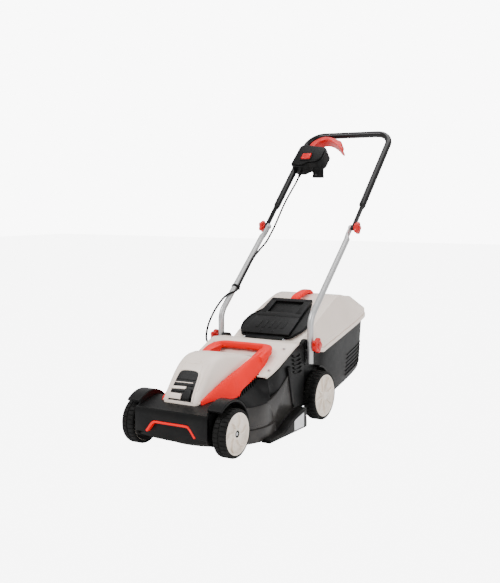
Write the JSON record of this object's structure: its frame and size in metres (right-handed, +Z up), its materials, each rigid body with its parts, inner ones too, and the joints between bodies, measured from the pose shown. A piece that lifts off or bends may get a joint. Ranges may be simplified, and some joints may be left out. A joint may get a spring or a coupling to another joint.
{
  "type": "corded rotary lawn mower",
  "caption": "Corded rotary lawn mower with domed motor cover, folding tubular handle with switch box and bail lever, rear flap and lift-off grass box.",
  "frame": {"origin": "on the ground, in the middle of the mower's width and length", "axes": "+Z up, +Y towards the rear, where the handle and the grass box are, +X to the right seen from above with the rear up the page"},
  "size_m": [0.409, 1.2084, 0.9777],
  "materials": {
    "deck_plastic": "satin moulded plastic",
    "black_plastic": "fine grained moulded plastic",
    "beige_plastic": "smooth moulded plastic",
    "red_plastic": "smooth moulded plastic",
    "rim_plastic": "smooth moulded plastic",
    "tyre_rubber": "treaded moulded tyre",
    "tube_silver": "silver powder coat",
    "black_paint": "glossy black coat",
    "bright_steel": "zinc plated",
    "blade_steel": "hardened and ground",
    "motor_metal": "cast",
    "cable_rubber": "smooth sheath",
    "label_foil": "blank foil"
  },
  "bodies": {
    "chassis": {"deck_housing": "deck_plastic", "front_bumper": "deck_plastic", "bumper_trim": "red_plastic", "motor_cover": "beige_plastic", "vent_grille": "black_plastic", "carry_frame": "red_plastic", "rear_cover_plate": "beige_plastic", "cover_screws": "bright_steel", "side_louvres": "black_plastic", "rating_label": "label_foil", "front_axle": "bright_steel", "rear_axle": "bright_steel", "axle_nuts": "bright_steel", "handle_brackets": "black_plastic", "pivot_bolts": "bright_steel", "cable_gland": "cable_rubber", "motor_stator": "motor_metal", "motor_bearings": "bright_steel", "motor_bolts": "bright_steel", "flap_pin": "bright_steel", "flap_spring": "bright_steel", "cable_loop": "cable_rubber"},
    "cutter": {"rotor_shaft": "bright_steel", "cooling_fan": "black_plastic", "blade_carrier": "black_plastic", "blade": "blade_steel", "blade_bolt": "bright_steel"},
    "front_wheel_left": {"tyre_front_left": "tyre_rubber", "rim_front_left": "rim_plastic"},
    "front_wheel_right": {"tyre_front_right": "tyre_rubber", "rim_front_right": "rim_plastic"},
    "rear_wheel_left": {"tyre_rear_left": "tyre_rubber", "rim_rear_left": "rim_plastic", "hub_cap_rear_left": "rim_plastic"},
    "rear_wheel_right": {"tyre_rear_right": "tyre_rubber", "rim_rear_right": "rim_plastic", "hub_cap_rear_right": "rim_plastic"},
    "lower_handle": {"lower_tube_left": "tube_silver", "lower_tube_right": "tube_silver", "joint_bolts": "bright_steel", "cable_clip": "black_plastic", "cable_lower": "cable_rubber", "cable_elbow": "cable_rubber"},
    "lower_knob_left": {"lower_knob_left": "red_plastic"},
    "lower_knob_right": {"lower_knob_right": "red_plastic"},
    "upper_knob_left": {"upper_knob_left": "red_plastic"},
    "upper_knob_right": {"upper_knob_right": "red_plastic"},
    "upper_handle": {"upper_bar": "black_paint", "switch_housing_top": "black_plastic", "switch_housing_bottom": "black_plastic", "inlet_socket": "black_plastic", "strain_relief": "cable_rubber", "cable_upper": "cable_rubber"},
    "bail_lever": {"bail_lever": "red_plastic"},
    "start_button": {"start_button": "red_plastic"},
    "discharge_flap": {"discharge_flap": "deck_plastic"},
    "grass_box": {"box_lid": "beige_plastic", "box_body": "deck_plastic", "box_handle": "red_plastic"}
  },
  "joints": [
    {"name": "front_wheel_left_spin", "type": "hinge", "parent": "chassis", "child": "front_wheel_left", "pos_m": [-0.1575, -0.53016, 0.07], "axis": [1, 0, 0], "continuous": true},
    {"name": "front_wheel_right_spin", "type": "hinge", "parent": "chassis", "child": "front_wheel_right", "pos_m": [0.1575, -0.53016, 0.07], "axis": [1, 0, 0], "continuous": true},
    {"name": "rear_wheel_left_spin", "type": "hinge", "parent": "chassis", "child": "rear_wheel_left", "pos_m": [-0.17, -0.00616, 0.08], "axis": [1, 0, 0], "continuous": true},
    {"name": "rear_wheel_right_spin", "type": "hinge", "parent": "chassis", "child": "rear_wheel_right", "pos_m": [0.17, -0.00616, 0.08], "axis": [1, 0, 0], "continuous": true},
    {"name": "blade_spin", "type": "hinge", "parent": "chassis", "child": "cutter", "pos_m": [0, -0.34816, 0.1], "axis": [0, 0, 1], "continuous": true},
    {"name": "lower_knob_left_turn", "type": "hinge", "parent": "chassis", "child": "lower_knob_left", "pos_m": [-0.19, -0.07216, 0.255], "axis": [1, 0, 0], "continuous": true},
    {"name": "lower_knob_right_turn", "type": "hinge", "parent": "chassis", "child": "lower_knob_right", "pos_m": [0.19, -0.07216, 0.255], "axis": [1, 0, 0], "continuous": true},
    {"name": "handle_fold", "type": "hinge", "parent": "chassis", "child": "lower_handle", "pos_m": [0, -0.07216, 0.255], "axis": [1, 0, 0], "range_deg": [0, 120], "deforming": ["cable_loop"]},
    {"name": "upper_knob_left_turn", "type": "hinge", "parent": "lower_handle", "child": "upper_knob_left", "pos_m": [-0.19, 0.24124, 0.6209], "axis": [1, 0, 0], "continuous": true},
    {"name": "upper_knob_right_turn", "type": "hinge", "parent": "lower_handle", "child": "upper_knob_right", "pos_m": [0.19, 0.24124, 0.6209], "axis": [1, 0, 0], "continuous": true},
    {"name": "upper_fold", "type": "hinge", "parent": "lower_handle", "child": "upper_handle", "pos_m": [0, 0.24124, 0.6209], "axis": [-1, 0, 0], "range_deg": [-140, 80], "deforming": ["cable_elbow"]},
    {"name": "bail_pull", "type": "hinge", "parent": "upper_handle", "child": "bail_lever", "pos_m": [-0.132, 0.52939, 0.90406], "axis": [0, -0.7009, 0.7132], "range_deg": [0, 7], "stiffness_Nm_per_rad": 4, "springref_deg": -5.73},
    {"name": "button_press", "type": "slide", "parent": "upper_handle", "child": "start_button", "axis": [0, 0.7009, -0.7132], "range_m": [0, 0.004], "stiffness_N_per_m": 400, "springref_m": -0.003},
    {"name": "flap_open", "type": "hinge", "parent": "chassis", "child": "discharge_flap", "pos_m": [0, -0.07416, 0.262], "axis": [1, 0, 0], "range_deg": [0, 60], "stiffness_Nm_per_rad": 0.4, "springref_deg": -28.65, "deforming": ["flap_spring"]},
    {"name": "box_slide", "type": "slide", "parent": "chassis", "child": "grass_box", "axis": [0, 1, 0], "range_m": [0, 0.15]}
  ]
}
